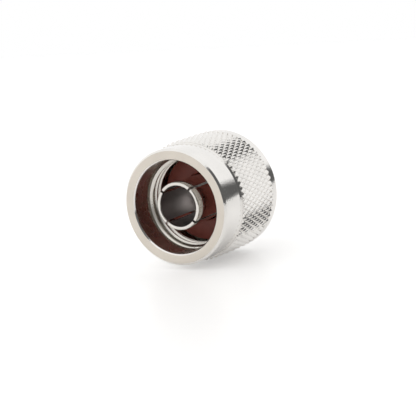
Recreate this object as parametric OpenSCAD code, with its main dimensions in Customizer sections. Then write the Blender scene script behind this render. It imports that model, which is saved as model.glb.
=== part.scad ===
// N type coaxial plug, crimp pattern: knurled coupling nut on a turned shell,
// with a slotted outer contact. The part stands on its rear neck, mating side up.

/* [Coupling nut] */
// Diameter of the smooth band behind the front face
band_d = 19.9; // [19:0.1:21.5]
// Length of the smooth band, from the front face
band_len = 4.85; // [3:0.05:7]
// Diameter over the tops of the knurl
knurl_d = 20.9; // [20.2:0.1:22.6]
// Depth of the knurl's grooves
knurl_depth = 0.38; // [0.2:0.02:0.5]
// Number of diamonds around the knurl
knurl_count = 66; // [48:1:72]
// Length of one diamond along the axis
knurl_pitch = 1.9; // [1.5:0.02:3]
// Width of the relief groove in front of the knurl
relief_w = 0.5; // [0.25:0.05:0.8]
// Diameter of the plain rim behind the knurl
rim_d = 20.5; // [20:0.1:22]
// Length of the plain rim
rim_len = 1.95; // [1:0.05:3]
// Bevel on the nut's outer edges
nut_bevel = 0.35; // [0.1:0.05:0.6]

/* [Mouth and thread] */
// Diameter of the plain mouth
mouth_d = 16; // [15.9:0.1:16.8]
// Depth of the plain mouth
mouth_depth = 4.05; // [3:0.05:6]
// Crest diameter of the 5/8-24 coupling thread
thread_d = 14.7; // [14.6:0.05:15]
// Length of the cone that leads into the thread
lead_len = 1.05; // [0.6:0.05:2]
// Length of the thread
thread_len = 2.7; // [2:0.1:5]
// Room between the thread and the gasket
thread_relief = 1.4; // [0.8:0.1:3]

/* [Gasket] */
// Outer diameter of the gasket
gasket_d = 15; // [13:0.1:15.4]
// Thickness of the gasket
gasket_t = 2; // [1:0.1:3]

/* [Outer contact] */
// Bore of the outer contact
contact_bore_d = 7; // [6.8:0.05:7.2]
// Outer diameter of the spring fingers
contact_d = 7.9; // [7.7:0.05:8]
// Diameter of the bead at the tips of the fingers
bead_d = 8.2; // [8.1:0.05:8.3]
// Length of the bead
bead_len = 1.6; // [0.8:0.1:2.4]
// Depth of the finger tips behind the nut's front face
contact_recess = 0.95; // [0.5:0.05:3]
// Number of spring fingers
finger_count = 4; // [4:2:6]
// Width of the slots between the fingers
slot_w = 0.42; // [0.2:0.02:0.6]
// Length of the slots
slot_len = 9; // [6:0.1:9.6]
// Length of the collar that is pressed into the shell
contact_collar_len = 1.5; // [0.8:0.1:2]

/* [Insulator] */
// Thickness of the insulator bead
insulator_t = 2; // [1.2:0.1:2.4]
// Hole for the centre contact
pin_hole_d = 3.06; // [2:0.02:3.3]

/* [Shell] */
// Diameter of the flange that carries the gasket
flange_d = 14.4; // [13.8:0.1:14.5]
// Length of the flange
flange_len = 1.4; // [1:0.1:3]
// Diameter of the journal that the nut turns on
journal_d = 12.4; // [12:0.1:13]
// Depth of the socket for the contact and the insulator
socket_depth = 4.1; // [3.8:0.1:4.2]
// Room around the fingers inside the socket
finger_room = 0.45; // [0.2:0.05:0.6]
// Length of the collar behind the nut
collar_len = 2.4; // [1.5:0.1:4]
// Distance across the collar's two wrench flats
flats_w = 10.6; // [10.2:0.1:11.6]
// Diameter of the crimp neck
neck_d = 9.2; // [8.7:0.1:9.6]
// Length of the crimp neck
neck_len = 5.5; // [4:0.1:9]
// Bore for the cable's dielectric
cable_bore_d = 7.5; // [7.2:0.1:7.6]

/* [Retaining ring] */
// Thickness of the ring
ring_t = 0.9; // [0.6:0.05:1.1]
// Radial width of the ring
ring_w = 1.5; // [1.2:0.05:1.8]
// Opening between the ring's ends
ring_gap = 2.4; // [1:0.1:4]
// Depth of the ring's groove in the shell
ring_seat = 0.8; // [0.6:0.05:0.9]
// Length of the nut's web around the journal
web_len = 4; // [3.6:0.1:6]

/* [Fits] */
// Radial clearance of the nut on the journal
running_fit = 0.05; // [0.02:0.01:0.08]
// Clearance around the retaining ring
ring_fit = 0.05; // [0.03:0.01:0.1]
// End play between the nut's web and the flange
end_play = 0.2; // [0.1:0.05:0.5]
// Gap between the nut and the shell's collar
nut_gap = 0.3; // [0.2:0.05:1]

/* [Hidden] */
$fn = 96;
small = 0.2;                 // bevel on inner and minor edges
overlap = 0.6;               // how far the knurl's sleeve reaches into the nut
least_flat = 0.08;           // smallest flat top of a diamond, as a share of its width
relief_depth = 0.25;         // how deep the relief groove is cut into the band
slot_turn = 42;              // turn of the first slot about the axis
past = 1;                    // how far a cutter runs past the metal

// Places along the axis, counted up from the end of the neck.
z_collar = neck_len;
z_nut = z_collar + collar_len + nut_gap;
z_web = z_nut + web_len;
z_flange = z_web + end_play;
z_gasket = z_flange + flange_len;
z_gasket_top = z_gasket + gasket_t;
z_thread = z_gasket_top + thread_relief;
z_lead = z_thread + thread_len;
z_mouth = z_lead + lead_len;
z_face = z_mouth + mouth_depth;
z_tip = z_face - contact_recess;
z_socket = z_gasket - socket_depth;
z_contact = z_socket + insulator_t;
z_ring = (z_nut + z_web) / 2;
z_rim = z_nut + rim_len;
z_knurl_top = z_face - band_len - relief_w;

// Radii that follow from the driving dimensions.
bore_r = journal_d / 2 + running_fit;
socket_r = contact_d / 2 + finger_room;
ring_in = journal_d / 2 - ring_seat;
ring_out = ring_in + ring_fit + ring_w;
relief_r = mouth_d / 2;
valley_r = knurl_d / 2 - knurl_depth;
groove_r = band_d / 2 - relief_depth;
knurl_rows = 2 * round(knurl_len() / knurl_pitch);
knurl_step = knurl_len() / knurl_rows;

function knurl_len() = z_knurl_top - z_rim;

// A point of the knurl's skin: turn and level count in half diamonds.
function skin(turn, level, r) =
    let (a = turn * 180 / knurl_count)
    [r * cos(a), r * sin(a), z_rim + level * knurl_step];

// Diamond knurl: a sleeve of flat-topped pyramids between two sets of crossing grooves.
// Diamonds share the groove crossings at their corners, and each has four points
// of its own for its flat top. Those on the sleeve's two ends are cut in half.
module knurl() {
    n = knurl_count;
    rows = knurl_rows;
    top_r = knurl_d / 2;
    step = PI * knurl_d / n;
    // Grooves with 45 degree flanks leave this share of a diamond's width as its flat top.
    flat = max(least_flat, 1 - 2 * knurl_depth / (step * cos(atan(step / knurl_pitch))));
    inner_r = valley_r - overlap;
    // Groove crossings, level by level.
    crossings = [for (i = [0 : rows]) for (j = [0 : n - 1])
        skin(2 * j + i % 2, i, valley_r)];
    // Flat tops: left, right, lower and upper points, cut off at the sleeve's ends.
    tops = [for (i = [0 : rows]) for (j = [0 : n - 1])
        let (c = 2 * j + 1 + i % 2)
        each [skin(c - flat, i, top_r), skin(c + flat, i, top_r),
              skin(c, max(i - flat, 0), top_r), skin(c, min(i + flat, rows), top_r)]];
    inner = [for (i = [0, rows]) for (j = [0 : n - 1]) skin(2 * j + i % 2, i, inner_r)];
    t0 = len(crossings);
    s0 = t0 + len(tops);
    function cross(i, j) = i * n + (j + n) % n;
    function top(i, j, k) = t0 + 4 * (i * n + (j + n) % n) + k;
    function wall(end, j) = s0 + end * n + (j + n) % n;
    // The crossing above or below a diamond stands half a turn step beside its left one.
    function beside(i, j) = j + i % 2;
    lower = [for (i = [1 : rows]) for (j = [0 : n - 1])
        let (b = cross(i - 1, beside(i, j)), l = cross(i, j), r = cross(i, j + 1))
        each [[l, b, top(i, j, 2), top(i, j, 0)], [b, r, top(i, j, 1), top(i, j, 2)],
              [top(i, j, 0), top(i, j, 2), top(i, j, 1)]]];
    upper = [for (i = [0 : rows - 1]) for (j = [0 : n - 1])
        let (u = cross(i + 1, beside(i, j)), l = cross(i, j), r = cross(i, j + 1))
        each [[u, l, top(i, j, 0), top(i, j, 3)], [r, u, top(i, j, 3), top(i, j, 1)],
              [top(i, j, 0), top(i, j, 1), top(i, j, 3)]]];
    bottom = [for (j = [0 : n - 1])
        [wall(0, j), wall(0, j + 1), cross(0, j + 1), top(0, j, 1), top(0, j, 0), cross(0, j)]];
    lid = [for (j = [0 : n - 1])
        [wall(1, j + 1), wall(1, j), cross(rows, j), top(rows, j, 0), top(rows, j, 1),
         cross(rows, j + 1)]];
    sleeve = [for (j = [0 : n - 1])
        [wall(0, j + 1), wall(0, j), wall(1, j), wall(1, j + 1)]];
    outward = concat(lower, upper, bottom, lid, sleeve);
    polyhedron(points = concat(crossings, tops, inner),
        faces = [for (face = outward) [for (k = [len(face) - 1 : -1 : 0]) face[k]]]);
}

// Turned nut: mouth, thread crest, relief and web in one section.
module coupling_nut() {
    groove_top = z_face - band_len;
    section = [
        [mouth_d / 2 + small, z_face], [band_d / 2 - nut_bevel, z_face],
        [band_d / 2, z_face - nut_bevel], [band_d / 2, groove_top + small / 2],
        [band_d / 2 - small / 2, groove_top], [groove_r, groove_top],
        [groove_r, groove_top - relief_w / 3], [valley_r + small / 2, z_knurl_top],
        [valley_r - small, z_knurl_top], [valley_r - small, z_rim],
        [rim_d / 2 - small / 2, z_rim], [rim_d / 2, z_rim - small / 2],
        [rim_d / 2, z_nut + nut_bevel], [rim_d / 2 - nut_bevel, z_nut],
        [bore_r + small, z_nut], [bore_r, z_nut + small],
        [bore_r, z_ring - ring_t / 2 - 2 * ring_fit],
        [ring_out + 2 * ring_fit, z_ring - ring_t / 2 - 2 * ring_fit],
        [ring_out + 2 * ring_fit, z_ring + ring_t / 2 + 2 * ring_fit],
        [bore_r, z_ring + ring_t / 2 + 2 * ring_fit],
        [bore_r, z_web], [relief_r, z_web], [relief_r, z_thread],
        [thread_d / 2 + small, z_thread], [thread_d / 2, z_thread + small],
        [thread_d / 2, z_lead], [mouth_d / 2, z_mouth],
        [mouth_d / 2, z_face - small]];
    color("gainsboro") union() {
        rotate_extrude() polygon(section);
        knurl();
    }
}

// Turned shell: gasket flange, journal with the ring's groove, collar and crimp neck.
module shell() {
    flange_r = flange_d / 2;
    journal_r = journal_d / 2;
    neck_r = neck_d / 2;
    section = [
        [socket_r, z_gasket], [flange_r - small, z_gasket], [flange_r, z_gasket - small],
        [flange_r, z_flange + small], [flange_r - small, z_flange], [journal_r, z_flange],
        [journal_r, z_ring + ring_t / 2 + ring_fit], [ring_in, z_ring + ring_t / 2 + ring_fit],
        [ring_in, z_ring - ring_t / 2 - ring_fit], [journal_r, z_ring - ring_t / 2 - ring_fit],
        [journal_r, z_collar + small], [journal_r - small, z_collar], [neck_r, z_collar],
        [neck_r, small], [neck_r - small, 0], [cable_bore_d / 2 + small, 0],
        [cable_bore_d / 2, small], [cable_bore_d / 2, z_socket], [socket_r, z_socket]];
    color("silver") difference() {
        rotate_extrude() polygon(section);
        for (side = [-1, 1])
            translate([side * (flats_w / 2 + journal_r), 0, z_collar + collar_len / 2 - past / 2])
                cube([2 * journal_r, 2 * journal_r, collar_len + past], center = true);
    }
}

// Spring fingers: a thin tube with a bead at its tips, slotted from the front.
module outer_contact() {
    bore = contact_bore_d / 2;
    tube_r = contact_d / 2;
    section = [
        [bore + small, z_tip], [bead_d / 2 - small, z_tip], [bead_d / 2, z_tip - small],
        [bead_d / 2, z_tip - bead_len + small], [tube_r, z_tip - bead_len - small],
        [tube_r, z_contact + contact_collar_len], [socket_r, z_contact + contact_collar_len],
        [socket_r, z_contact], [bore, z_contact], [bore, z_tip - small]];
    color("lightgray") difference() {
        rotate_extrude() polygon(section);
        for (k = [0 : finger_count / 2 - 1])
            rotate(slot_turn + k * 360 / finger_count)
                translate([0, 0, z_tip - slot_len / 2 + past / 2])
                    cube([bead_d + past, slot_w, slot_len + past], center = true);
    }
}

// Flat silicone ring on the flange, which the mating jack's barrel presses on.
module gasket() {
    section = [
        [socket_r, z_gasket], [gasket_d / 2, z_gasket], [gasket_d / 2, z_gasket_top - small],
        [gasket_d / 2 - small, z_gasket_top], [socket_r + small, z_gasket_top],
        [socket_r, z_gasket_top - small]];
    color("firebrick") rotate_extrude() polygon(section);
}

// Split spring ring, half in the shell's groove and half in the nut's.
module retaining_ring() {
    color("darkgray") difference() {
        translate([0, 0, z_ring - ring_t / 2]) difference() {
            cylinder(r = ring_out, h = ring_t);
            translate([0, 0, -past]) cylinder(r = ring_in + ring_fit, h = ring_t + 2 * past);
        }
        translate([-ring_out, 0, z_ring])
            cube([2 * ring_out, ring_gap, ring_t + past], center = true);
    }
}

// Insulator bead behind the contact, with the hole that centres the pin.
module insulator() {
    section = [
        [pin_hole_d / 2 + small, z_contact], [socket_r - ring_fit, z_contact],
        [socket_r - ring_fit, z_socket], [pin_hole_d / 2 + small, z_socket],
        [pin_hole_d / 2, z_socket + small], [pin_hole_d / 2, z_contact - small]];
    color("white") rotate_extrude() polygon(section);
}

coupling_nut();
shell();
outer_contact();
gasket();
retaining_ring();
insulator();
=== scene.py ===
"""Looks of the knurled coaxial plug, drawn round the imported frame.

The part stands on its crimp neck with its mating side up. Shapes are worked out
in millimetres and brought to metres when a piece is finished.
"""

import math

import bmesh
import bpy
from mathutils import Matrix, Vector


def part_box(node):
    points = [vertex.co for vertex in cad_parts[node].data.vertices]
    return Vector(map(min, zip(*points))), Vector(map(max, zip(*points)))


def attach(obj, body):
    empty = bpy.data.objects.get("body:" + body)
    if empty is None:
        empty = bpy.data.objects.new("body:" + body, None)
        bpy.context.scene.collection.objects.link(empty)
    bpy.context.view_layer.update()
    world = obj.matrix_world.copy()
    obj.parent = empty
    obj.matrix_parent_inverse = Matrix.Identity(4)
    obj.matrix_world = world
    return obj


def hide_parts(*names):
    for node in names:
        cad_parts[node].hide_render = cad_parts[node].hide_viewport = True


MM = 0.001
TURN = 2 * math.pi
STEPS = 264  # steps of a full turn on the nut
FINE = 192  # and on the smaller pieces
NEAR = 0.01  # millimetres within which two places are taken as one

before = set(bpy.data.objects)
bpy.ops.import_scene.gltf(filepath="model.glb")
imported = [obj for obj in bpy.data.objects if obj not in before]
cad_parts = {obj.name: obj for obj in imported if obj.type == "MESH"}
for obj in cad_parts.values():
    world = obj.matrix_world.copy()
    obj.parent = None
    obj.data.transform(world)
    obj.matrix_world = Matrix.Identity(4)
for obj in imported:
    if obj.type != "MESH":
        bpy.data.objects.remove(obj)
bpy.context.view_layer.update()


def span(node):
    """Lowest height, highest height and width of a CAD node, in millimetres."""
    low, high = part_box(node)
    return low[2] / MM, high[2] / MM, (high[0] - low[0]) / MM


z_nut, z_face, knurl_d = span("coupling_nut")
z_gasket, z_gasket_top, gasket_d = span("gasket")
z_contact, z_tip, socket_d = span("outer_contact")
z_socket = span("insulator")[0]
flange_d = span("shell")[2]

# Sizes that the boxes don't give, as in the part's source.
band_d, band_len, relief_w, relief_depth = 19.9, 4.85, 0.5, 0.25
knurl_depth, knurl_count, knurl_pitch, knurl_turn = 0.38, 66, 1.9, math.radians(1)
rim_d, rim_len, nut_bevel = 20.5, 1.95, 0.35
mouth_d, mouth_depth, mouth_bevel = 16.0, 4.05, 0.2
thread_d, lead_len, thread_len, thread_pitch = 14.7, 1.05, 2.7, 25.4 / 24
thread_root = 0.59  # depth of the thread below its crest
web_len, journal_d, running_fit, flange_len = 4.0, 12.4, 0.05, 1.4
contact_bore_d, contact_d, bead_d, bead_len = 7.0, 7.9, 8.2, 1.6
slot_w, slot_len, slot_turn, contact_collar = 0.42, 9.0, math.radians(42), 1.5
neck_d, neck_len, collar_len, flats_w = 9.2, 5.5, 2.4, 10.6
cable_bore_d, pin_hole_d, bore_chamfer = 7.5, 3.06, 0.2
ring_t, ring_fit, ring_seat, ring_w = 0.9, 0.05, 0.8, 1.5

z_web = z_nut + web_len
z_lead = z_face - mouth_depth - lead_len
z_mouth = z_face - mouth_depth
z_thread = z_lead - thread_len
z_ring = (z_nut + z_web) / 2
z_rim = z_nut + rim_len
z_knurl_top = z_face - band_len - relief_w
valley_r = knurl_d / 2 - knurl_depth
bore_r = journal_d / 2 + running_fit
socket_r = socket_d / 2
ring_in = journal_d / 2 - ring_seat
ring_out = ring_in + ring_fit + ring_w
lip_r = contact_d / 2 + 0.1  # the gasket closes in on the contact


# ---------------------------------------------------------------- shapes


def eased(outline, closed=True, arc=4):
    """Rounds an outline's corners. A point is (radius, height) or (radius, height, ease)."""
    points = []
    count = len(outline)
    for i, point in enumerate(outline):
        ease = point[2] if len(point) > 2 else 0
        here = Vector(point[:2])
        if not ease or (not closed and i in (0, count - 1)):
            points.append(here)
            continue
        before = Vector(outline[i - 1][:2]) - here
        after = Vector(outline[(i + 1) % count][:2]) - here
        reach = min(ease, before.length * 0.45, after.length * 0.45)
        start = here + before.normalized() * reach
        end = here + after.normalized() * reach
        for k in range(arc + 1):
            t = k / arc
            points.append(start * (1 - t) ** 2 + here * 2 * t * (1 - t) + end * t * t)
    return points


def turned(bm, outline, closed=True, steps=FINE, climb=0.0):
    """Spins an outline of (radius, height) points about the axis."""
    verts = [bm.verts.new((r, 0, z)) for r, z in outline]
    edges = [bm.edges.new(pair) for pair in zip(verts, verts[1:])]
    if closed:
        edges.append(bm.edges.new((verts[-1], verts[0])))
    bmesh.ops.spin(
        bm,
        geom=verts + edges,
        cent=(0, 0, 0),
        axis=(0, 0, 1),
        dvec=(0, 0, climb / steps),
        angle=TURN,
        steps=steps,
        use_merge=not climb,
    )


def gathered(parts):
    """Puts several bmeshes into one."""
    whole = bmesh.new()
    for bm in parts:
        mesh = bpy.data.meshes.new("part")
        bm.to_mesh(mesh)
        bm.free()
        whole.from_mesh(mesh)
        bpy.data.meshes.remove(mesh)
    return whole


def finished(name, bm, replaced, material, body, sharp=32.0):
    """Makes the object of a closed bmesh in millimetres and hangs it in the frame."""
    bmesh.ops.recalc_face_normals(bm, faces=bm.faces)
    bmesh.ops.scale(bm, vec=(MM, MM, MM), verts=bm.verts)
    for face in bm.faces:
        face.smooth = True
    mesh = bpy.data.meshes.new(name)
    bm.to_mesh(mesh)
    bm.free()
    mesh.set_sharp_from_angle(angle=math.radians(sharp))
    piece = bpy.data.objects.new(name, mesh)
    bpy.context.scene.collection.objects.link(piece)
    mesh.materials.append(material)
    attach(piece, body)
    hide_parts(replaced)
    return piece


# ---------------------------------------------------------------- coupling nut


def shifted_copy(bm, faces, move):
    copy = bmesh.ops.duplicate(bm, geom=faces)["geom"]
    verts = {v for f in copy if isinstance(f, bmesh.types.BMFace) for v in f.verts}
    bmesh.ops.translate(bm, vec=move, verts=list(verts))


def knurl_skin():
    """Diamonds between two crossing sets of grooves, laid out flat and wrapped round."""
    # From groove to groove: where the wall bends, and what share of the depth it has there.
    stops = (0, 0.05, 0.3, 0.42, 0.5, 0.58, 0.7, 0.95, 1)
    heights = (0, 0.06, 0.76, 0.96, 1, 0.96, 0.76, 0.06, 0)
    length = z_knurl_top - z_rim
    rows = 2 * round(length / knurl_pitch)
    half_turn = math.pi / knurl_count
    half_step = length / rows
    end_bevel = 0.3  # the diamonds run down towards the band

    # One diamond is a grid, split along its diagonals and bent where the stops say.
    bm = bmesh.new()
    cells = len(stops) - 1
    bmesh.ops.create_grid(bm, x_segments=cells, y_segments=cells, size=cells / 2)
    for slant in (-1, 1):
        whole = bm.verts[:] + bm.edges[:] + bm.faces[:]
        bmesh.ops.bisect_plane(bm, geom=whole, plane_co=(0, 0, 0), plane_no=(1, slant, 0))
    for v in bm.verts:
        a, b = round(v.co.x + cells / 2), round(v.co.y + cells / 2)
        u, w = stops[a], stops[b]
        rise = knurl_depth * min(heights[a], heights[b])
        v.co = ((u + w) * half_turn, (u - w) * half_step, rise)
    diamond = list(bm.faces)
    for i in range(1, rows + 1):
        shifted_copy(bm, diamond, (-half_turn * (i % 2), half_step * i, 0))
    for end, side in ((0, -1), (length, 1), (length - end_bevel, 0)):
        bmesh.ops.bisect_plane(
            bm,
            geom=bm.verts[:] + bm.edges[:] + bm.faces[:],
            plane_co=(0, end, 0),
            plane_no=(0, 1, 0),
            clear_outer=side > 0,
            clear_inner=side < 0,
        )
    for v in bm.verts:
        v.co.z = min(v.co.z, knurl_depth * max(0, length - v.co.y) / end_bevel)
    column = list(bm.faces)
    for j in range(1, knurl_count):
        shifted_copy(bm, column, (2 * half_turn * j, 0, 0))
    for v in bm.verts:
        angle, height, rise = v.co
        angle += knurl_turn
        r = valley_r + rise
        v.co = (r * math.cos(angle), r * math.sin(angle), z_rim + height)
    bmesh.ops.remove_doubles(bm, verts=bm.verts, dist=0.0005)
    return bm


def thread_radius(angle, z):
    """Radius of the nut's wall between the mouth and the end of its right-hand thread."""
    crest, root = thread_d / 2, thread_d / 2 + thread_root
    root_flat, flank, crest_flat = 0.125, 0.3125, 0.25  # shares of the pitch
    phase = (z / thread_pitch - angle / TURN) % 1
    rising = root_flat + flank + crest_flat
    if phase < root_flat:
        r = root
    elif phase < root_flat + flank:
        r = root - thread_root * (phase - root_flat) / flank
    elif phase < rising:
        r = crest
    else:
        r = crest + thread_root * (phase - rising) / flank
    cone = crest + (mouth_d / 2 - crest) * (z - z_lead) / lead_len
    return max(r, cone)


def thread_wall():
    """The thread as a screwed strip, cut square at both of its ends."""
    # Rings of the strip over one pitch: on both flats, their ends and the flanks.
    stops = (0, 0.06, 0.125, 0.23, 0.335, 0.4375, 0.5625, 0.6875, 0.79, 0.895)
    low = math.floor((z_thread / thread_pitch) - 1)
    high = math.ceil(z_mouth / thread_pitch)
    heights = [(k + s) * thread_pitch for k in range(low, high) for s in stops]
    bm = bmesh.new()
    line = [(thread_d / 2, z) for z in heights]
    turned(bm, line, closed=False, steps=STEPS, climb=thread_pitch)
    # The thread climbs a pitch in a turn, so both sides of the seam have one radius.
    for v in bm.verts:
        z = min(max(v.co.z, z_thread), z_mouth)
        angle = math.atan2(v.co.y, v.co.x)
        r = thread_radius(angle, z)
        v.co = (r * math.cos(angle), r * math.sin(angle), z)
    bmesh.ops.remove_doubles(bm, verts=bm.verts, dist=0.0005)
    bmesh.ops.dissolve_degenerate(bm, edges=bm.edges, dist=0.0004)
    return bm


def join_at(bm, height):
    """Bridges the two open loops that lie at one height, with their walls facing alike."""
    bmesh.ops.recalc_face_normals(bm, faces=bm.faces)
    loose = [
        e
        for e in bm.edges
        if e.is_boundary and all(abs(v.co.z - height) < 0.002 for v in e.verts)
    ]
    bmesh.ops.bridge_loops(bm, edges=loose)


def nut_section():
    """The nut from the thread's lower end, round the web and the rim, to the mouth."""
    groove_top, groove_floor = z_face - band_len, z_knurl_top + 0.37
    recess = ring_t / 2 + 2 * ring_fit
    recess_r = ring_out + 2 * ring_fit
    lower = [
        (mouth_d / 2, z_thread),
        (mouth_d / 2, z_web, 0.15),
        (bore_r, z_web, 0.1),
        (bore_r, z_ring + recess),
        (recess_r, z_ring + recess),
        (recess_r, z_ring - recess),
        (bore_r, z_ring - recess),
        (bore_r, z_nut + bore_chamfer, 0.05),
        (bore_r + bore_chamfer, z_nut, 0.05),
        (rim_d / 2 - nut_bevel, z_nut, 0.15),
        (rim_d / 2, z_nut + nut_bevel, 0.15),
        (rim_d / 2, z_rim, 0.08),
        (valley_r + 0.05, z_rim),
    ]
    upper = [
        (valley_r - 0.05, z_knurl_top),
        (band_d / 2 - relief_depth, groove_floor, 0.05),
        (band_d / 2 - relief_depth, groove_top, 0.03),
        (band_d / 2, groove_top, 0.09),
        (band_d / 2, z_face - nut_bevel, 0.06),
        (band_d / 2 - nut_bevel, z_face, 0.06),
        (mouth_d / 2 + mouth_bevel, z_face, 0.05),
        (mouth_d / 2, z_face - mouth_bevel, 0.05),
        (mouth_d / 2, z_mouth),
    ]
    return eased(lower, closed=False), eased(upper, closed=False)


def coupling_nut(metal, face_metal, bore_metal):
    walls = [knurl_skin(), thread_wall()]
    for outline in nut_section():
        walls.append(bmesh.new())
        turned(walls[-1], outline, closed=False, steps=STEPS)
    bm = gathered(walls)
    bmesh.ops.remove_doubles(bm, verts=bm.verts, dist=0.001)
    for height in (z_rim, z_knurl_top, z_thread):
        join_at(bm, height)
    nut = finished("knurled_nut", bm, "coupling_nut", metal, "nut", 28)
    nut.data.materials.append(face_metal)
    nut.data.materials.append(bore_metal)
    face_r = band_d / 2 - nut_bevel
    for face in nut.data.polygons:
        out = Vector(face.center[:2]).length / MM
        height = face.center[2] / MM
        if height > z_face - NEAR and mouth_d / 2 + mouth_bevel / 2 < out < face_r:
            face.material_index = 1
        elif height < z_face - mouth_bevel and out < mouth_d / 2 + NEAR:
            face.material_index = 2
    return nut


# ---------------------------------------------------------------- shell and its pieces


def shell(metal):
    flange_r, journal_r, neck_r = flange_d / 2, journal_d / 2, neck_d / 2
    z_flange, z_collar = z_gasket - flange_len, neck_len
    seat = ring_t / 2 + ring_fit
    section = [
        (socket_r, z_gasket, 0.1),
        (flange_r, z_gasket, 0.2),
        (flange_r, z_flange, 0.2),
        (journal_r, z_flange, 0.1),
        (journal_r, z_ring + seat),
        (ring_in, z_ring + seat),
        (ring_in, z_ring - seat),
        (journal_r, z_ring - seat),
        (journal_r, z_collar + collar_len - 0.02),
        (journal_r, z_collar, 0.22),
        (neck_r, z_collar, 0.1),
        (neck_r, 0, 0.22),
        (cable_bore_d / 2, 0, 0.22),
        (cable_bore_d / 2, z_socket, 0.05),
        (socket_r, z_socket),
    ]
    bm = bmesh.new()
    turned(bm, eased(section), steps=STEPS)
    for v in bm.verts:
        on_collar = z_collar - NEAR < v.co.z < z_collar + collar_len - NEAR
        if on_collar and abs(v.co.x) > flats_w / 2:
            v.co.x = math.copysign(flats_w / 2, v.co.x)
    return finished("turned_shell", bm, "shell", metal, "plug_shell")


def saw_blade(turn):
    """A blade across the contact that cuts two slots, from their ends to past the tip."""
    past = 1.0
    bm = bmesh.new()
    bmesh.ops.create_cube(bm, size=1)
    bmesh.ops.scale(bm, vec=(bead_d + 2 * past, slot_w, slot_len + past), verts=bm.verts)
    bmesh.ops.translate(bm, vec=(0, 0, z_tip - (slot_len - past) / 2), verts=bm.verts)
    turned_by = Matrix.Rotation(turn, 3, "Z")
    bmesh.ops.rotate(bm, cent=(0, 0, 0), matrix=turned_by, verts=bm.verts)
    bmesh.ops.scale(bm, vec=(MM, MM, MM), verts=bm.verts)
    mesh = bpy.data.meshes.new("saw")
    bm.to_mesh(mesh)
    bm.free()
    blade = bpy.data.objects.new("saw", mesh)
    bpy.context.scene.collection.objects.link(blade)
    return blade


def outer_contact(metal, bore_metal):
    bore, tube_r, bead_r = contact_bore_d / 2, contact_d / 2, bead_d / 2
    section = [
        (bore, z_tip, 0.22),
        (bead_r, z_tip, 0.3),
        (bead_r, z_tip - bead_len, 0.15),
        (tube_r, z_tip - bead_len - 0.3, 0.2),
        (tube_r, z_contact + contact_collar, 0.1),
        (socket_r, z_contact + contact_collar, 0.08),
        (socket_r, z_contact, 0.08),
        (bore, z_contact, 0.08),
    ]
    bm = bmesh.new()
    turned(bm, eased(section))
    contact = finished(
        "slotted_contact", bm, "outer_contact", metal, "plug_shell"
    )
    blades = [saw_blade(-slot_turn), saw_blade(TURN / 4 - slot_turn)]
    for blade in blades:
        cut = contact.modifiers.new("slot", "BOOLEAN")
        cut.object = blade
        cut.solver = "EXACT"
    apply_modifiers(contact)
    for blade in blades:
        bpy.data.objects.remove(blade)
    contact.data.set_sharp_from_angle(angle=math.radians(32))
    # The second material makes the contact's bore darker and duller: painted shade for the
    # shadow deep inside the bore.
    contact.data.materials.append(bore_metal)
    z_painted_shade_top = z_tip - 0.3  # the bore's painted shade stops short of the tip, whose round keeps the plain plate
    for face in contact.data.polygons:
        out = Vector(face.center[:2]).length / MM
        # Bore faces below the tip get the painted-shade metal.
        if out < bore + NEAR and face.center[2] / MM < z_painted_shade_top:
            face.material_index = 1
    return contact


def apply_modifiers(piece):
    """Turns a piece's modifiers into its own mesh."""
    graph = bpy.context.evaluated_depsgraph_get()
    made = bpy.data.meshes.new_from_object(piece.evaluated_get(graph))
    piece.modifiers.clear()
    piece.data = made


def gasket(silicone):
    section = [
        (lip_r, z_gasket, 0.1),
        (gasket_d / 2, z_gasket, 0.1),
        (gasket_d / 2, z_gasket_top, 0.25),
        (lip_r, z_gasket_top, 0.25),
    ]
    bm = bmesh.new()
    turned(bm, eased(section))
    return finished("silicone_gasket", bm, "gasket", silicone, "plug_shell")


def insulator(ptfe):
    bead_r = socket_r - ring_fit
    section = [
        (pin_hole_d / 2, z_contact, 0.2),
        (bead_r, z_contact, 0.1),
        (bead_r, z_socket, 0.1),
        (pin_hole_d / 2, z_socket, 0.2),
    ]
    bm = bmesh.new()
    turned(bm, eased(section))
    return finished("insulator_bead", bm, "insulator", ptfe, "plug_shell")


# ---------------------------------------------------------------- materials


class Wire:
    """A node socket that can be used in sums."""

    def __init__(self, tree, socket):
        self.tree, self.socket = tree, socket

    def math(self, operation, a, b=0.0):
        return node(self.tree, "Math", {"operation": operation}, 0, i0=a, i1=b)

    def __add__(self, other):
        return self.math("ADD", self, other)

    def __sub__(self, other):
        return self.math("SUBTRACT", self, other)

    def __rsub__(self, other):
        return self.math("SUBTRACT", other, self)

    def __mul__(self, other):
        return self.math("MULTIPLY", self, other)

    __radd__, __rmul__ = __add__, __mul__


def node(tree, kind, settings=(), out=0, **sockets):
    """A new shader node. Sockets are i0, i1 by place, or their names with _ for a space."""
    made = tree.nodes.new("ShaderNode" + kind)
    for name, value in dict(settings).items():
        setattr(made, name, value)
    for name, value in sockets.items():
        by_place = name[0] == "i" and name[1:].isdigit()
        socket = made.inputs[int(name[1:]) if by_place else name.replace("_", " ")]
        if isinstance(value, Wire):
            tree.links.new(value.socket, socket)
        else:
            socket.default_value = value
    return Wire(tree, made.outputs[out])


def ranged(value, low, high):
    """0 below low, 1 above high and a smooth step between."""
    settings = {"interpolation_type": "SMOOTHSTEP"}
    return node(value.tree, "MapRange", settings, Value=value, From_Min=low, From_Max=high)


def apart(vector):
    """The x, y and z of a vector."""
    made = node(vector.tree, "SeparateXYZ", Vector=vector).socket.node
    return [Wire(vector.tree, made.outputs[k]) for k in range(3)]


def blank_material(name):
    material = bpy.data.materials.new(name)
    material.use_nodes = True
    return material, material.node_tree, material.node_tree.nodes["Principled BSDF"]


def link(tree, wire, shader, socket):
    tree.links.new(wire.socket, shader.inputs[socket])


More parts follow.
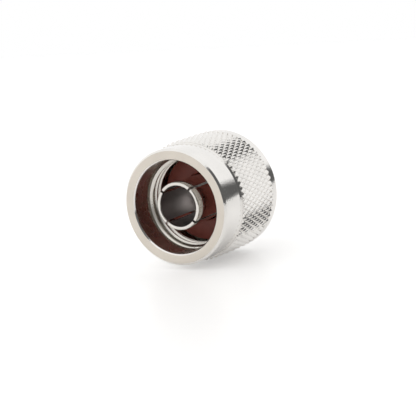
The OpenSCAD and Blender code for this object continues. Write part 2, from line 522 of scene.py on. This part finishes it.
def tinted(tree, amount, low, high):
    """A colour between two, by a 0 to 1 amount."""
    mix = tree.nodes.new("ShaderNodeMix")
    mix.data_type = "RGBA"
    mix.inputs["A"].default_value = (*low, 1)
    mix.inputs["B"].default_value = (*high, 1)
    tree.links.new(amount.socket, mix.inputs["Factor"])
    return Wire(tree, mix.outputs["Result"])


def nickel(name, colour, roughness, grain, turning=0.0):
    """Nickel plate: fine grain from the plating bath and, on turned faces, tool rings.

    Grain and turning are heights in millimetres.
    """
    material, tree, shader = blank_material(name)
    place = node(tree, "TexCoord", out=3)
    cloud = node(tree, "TexNoise", Vector=place, Scale=260.0, Detail=3.0)
    specks = node(tree, "TexNoise", Vector=place, Scale=4000.0, Detail=2.0)
    shade = ranged(cloud, 0.3, 0.7)
    darker = tuple(c * 0.94 for c in colour)
    link(tree, tinted(tree, shade, darker, colour), shader, "Base Color")
    link(tree, shade * 0.03 + roughness, shader, "Roughness")
    shader.inputs["Metallic"].default_value = 1.0
    relief = specks * grain
    if turning:
        x, y, _ = apart(place)
        out = x.math("SQRT", x * x + y * y)
        lines = node(tree, "TexNoise", {"noise_dimensions": "1D"}, W=out * 9000.0)
        relief = relief + lines * turning
    bump = node(tree, "Bump", Height=relief, Distance=MM, Strength=1.0)
    link(tree, bump, shader, "Normal")
    return material


def silicone_rubber():
    material, tree, shader = blank_material("red_silicone")
    place = node(tree, "TexCoord", out=3)
    cloud = node(tree, "TexNoise", Vector=place, Scale=700.0, Detail=4.0)
    shade = ranged(cloud, 0.3, 0.75)
    colour = tinted(tree, shade, (0.27, 0.062, 0.044), (0.32, 0.082, 0.06))
    link(tree, colour, shader, "Base Color")
    link(tree, shade * 0.08 + 0.42, shader, "Roughness")
    specks = node(tree, "TexNoise", Vector=place, Scale=4000.0, Detail=2.0)
    link(tree, node(tree, "Bump", Height=specks * 0.006, Distance=MM), shader, "Normal")
    return material


def ptfe_plastic():
    material, tree, shader = blank_material("white_ptfe")
    place = node(tree, "TexCoord", out=3)
    cloud = node(tree, "TexNoise", Vector=place, Scale=900.0, Detail=3.0)
    shade = ranged(cloud, 0.3, 0.7)
    link(tree, tinted(tree, shade, (0.78, 0.78, 0.75), (0.84, 0.84, 0.82)), shader, "Base Color")
    link(tree, shade * 0.06 + 0.4, shader, "Roughness")
    return material


# ---------------------------------------------------------------- stage, light, camera


def tabletop():
    """The white table beside the nut, upright as the plug is. From behind it is clear."""
    table_gap, half_size, along, down = 0.25 * MM, 0.23, 0.12, 0.05
    middle = (-knurl_d / 2 * MM - table_gap, along, -down)
    place = Matrix.Translation(middle) @ Matrix.Rotation(math.pi / 2, 4, "Y")
    bm = bmesh.new()
    bmesh.ops.create_grid(bm, x_segments=1, y_segments=1, size=half_size, matrix=place)
    mesh = bpy.data.meshes.new("tabletop")
    bm.to_mesh(mesh)
    bm.free()
    material, tree, shader = blank_material("white_table")
    shader.inputs["Base Color"].default_value = (0.86, 0.85, 0.84, 1)
    shader.inputs["Roughness"].default_value = 0.35
    shader.inputs["Emission Strength"].default_value = 1.0
    seen = node(tree, "LightPath", out=0)
    mirrored = node(tree, "LightPath", out=3)
    link(tree, seen * 0.3 + mirrored * 0.2, shader, "Emission Color")
    behind = node(tree, "NewGeometry", out=6)
    clear = node(tree, "BsdfTransparent")
    mix = tree.nodes.new("ShaderNodeMixShader")
    tree.links.new(behind.socket, mix.inputs[0])
    tree.links.new(shader.outputs[0], mix.inputs[1])
    tree.links.new(clear.socket, mix.inputs[2])
    tree.links.new(mix.outputs[0], tree.nodes["Material Output"].inputs["Surface"])
    mesh.materials.append(material)
    sheet = bpy.data.objects.new("tabletop", mesh)
    bpy.context.scene.collection.objects.link(sheet)


def studio():
    """A white tent, open round the camera and along a gap over the table's edge."""
    world = bpy.data.worlds.new("tent")
    bpy.context.scene.world = world
    world.use_nodes = True
    tree = world.node_tree
    tree.nodes.clear()
    way = node(tree, "TexCoord", out=0)
    x, y, z = apart(way)
    side = 0 - y
    over_table = ranged(x + side * 0.105, -0.06, 0.05)
    under_wall = 1 - ranged(x - side * 0.5, -0.08, 0.09)
    gap = over_table * under_wall * ranged(side, 0.1, 0.3)
    opening = ranged(x * 0.29 + y * -0.74 + z * 0.59, 0.80, 0.86)
    dark = gap.math("MAXIMUM", gap, opening)
    seen = node(tree, "LightPath", out=0)
    level = 1 - dark * 0.88
    level = level.math("MAXIMUM", level, seen)
    glow = node(tree, "Background", Color=(1, 1, 1, 1), Strength=level)
    output = tree.nodes.new("ShaderNodeOutputWorld")
    tree.links.new(glow.socket, output.inputs[0])


def camera():
    """The camera looks into the mouth from its right, with the plug's +X side up."""
    azimuth, elevation = math.radians(18.05), math.radians(56.12)
    roll, distance, aside = math.radians(111.535), 366.46, Vector((5.542, -0.072))
    back = Vector(
        (
            math.sin(azimuth) * math.cos(elevation),
            -math.cos(azimuth) * math.cos(elevation),
            math.sin(elevation),
        )
    )
    level_right = Vector((0, 0, 1)).cross(back).normalized()
    level_up = back.cross(level_right)
    up = level_up * math.cos(roll) + level_right * math.sin(roll)
    right = up.cross(back)
    data = bpy.data.cameras.new("camera")
    data.sensor_width, data.lens = 36.0, 190.4
    data.clip_start, data.clip_end = 0.01, 5.0
    made = bpy.data.objects.new("camera", data)
    bpy.context.scene.collection.objects.link(made)
    aim = Vector((0, 0, z_face)) + right * aside.x + up * aside.y
    turn = Matrix((right, up, back)).transposed()
    made.matrix_world = Matrix.Translation((aim + back * distance) * MM) @ turn.to_4x4()
    bpy.context.scene.camera = made


# ---------------------------------------------------------------- build

plate = nickel("nickel_plate", (0.88, 0.86, 0.83), 0.08, 0.010)
face_plate = nickel("nickel_face", (0.72, 0.665, 0.59), 0.30, 0.006, turning=0.002)
bore_plate = nickel("nickel_inside", (0.80, 0.765, 0.71), 0.26, 0.003)
contact_plate = nickel("nickel_contact", (0.80, 0.77, 0.72), 0.12, 0.002)
# Darker metal for the contact's bore: painted shade standing in for the shade deep in the bore.
shaded_bore_plate = nickel("bore_painted_shade", (0.50, 0.455, 0.45), 0.34, 0.002)

coupling_nut(plate, face_plate, bore_plate)
shell(plate)
outer_contact(contact_plate, shaded_bore_plate)
gasket(silicone_rubber())
insulator(ptfe_plastic())
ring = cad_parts["retaining_ring"]
ring.data.materials.clear()
ring.data.materials.append(nickel("spring_metal", (0.55, 0.54, 0.52), 0.25, 0.001))

tabletop()
studio()
camera()
bpy.context.scene.view_settings.view_transform = "Standard"
